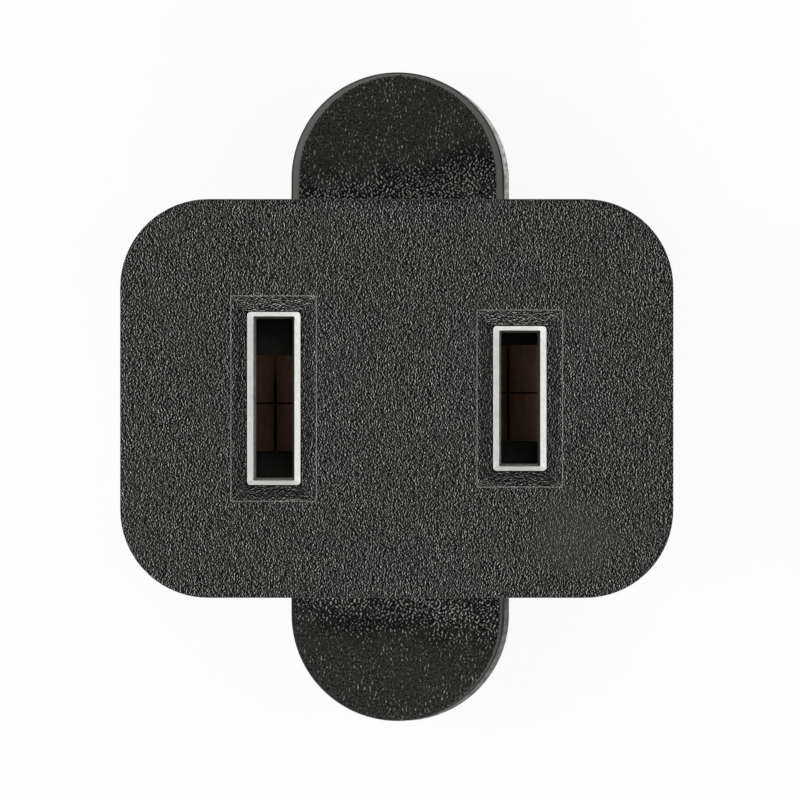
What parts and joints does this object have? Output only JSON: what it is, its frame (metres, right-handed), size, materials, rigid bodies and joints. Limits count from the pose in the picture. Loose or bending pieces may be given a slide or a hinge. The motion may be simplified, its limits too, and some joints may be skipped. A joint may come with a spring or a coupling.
{
  "type": "female type a cord plug",
  "caption": "Black slide-on female cord plug with polarised slots for two flat blades, finger ears and a sliding back cover over a two-lane cord channel.",
  "frame": {"origin": "on the floor under the middle of the slotted face, with the plug lying on its back cover", "axes": "+Z out of the slotted face, +X along the cord towards the end that the cover slides out of, +Y along the blade slots towards the upper ear; the long neutral slot is on the -X side"},
  "size_m": [0.0293, 0.0352, 0.027],
  "materials": {
    "black_moulding": "fine moulded leather grain, with smooth pale slot rims",
    "black_cover_moulding": "fine moulded leather grain, smooth at the edges",
    "contact_brass": "as stamped, slightly dull"
  },
  "bodies": {
    "socket": {"socket_body": "black_moulding", "neutral_contact": "contact_brass", "live_contact": "contact_brass"},
    "cover": {"slide_cover": "black_cover_moulding"}
  },
  "joints": [
    {"name": "cover_slide", "type": "slide", "parent": "socket", "child": "cover", "axis": [1, 0, 0], "range_m": [-0.00025, 0.026]}
  ]
}
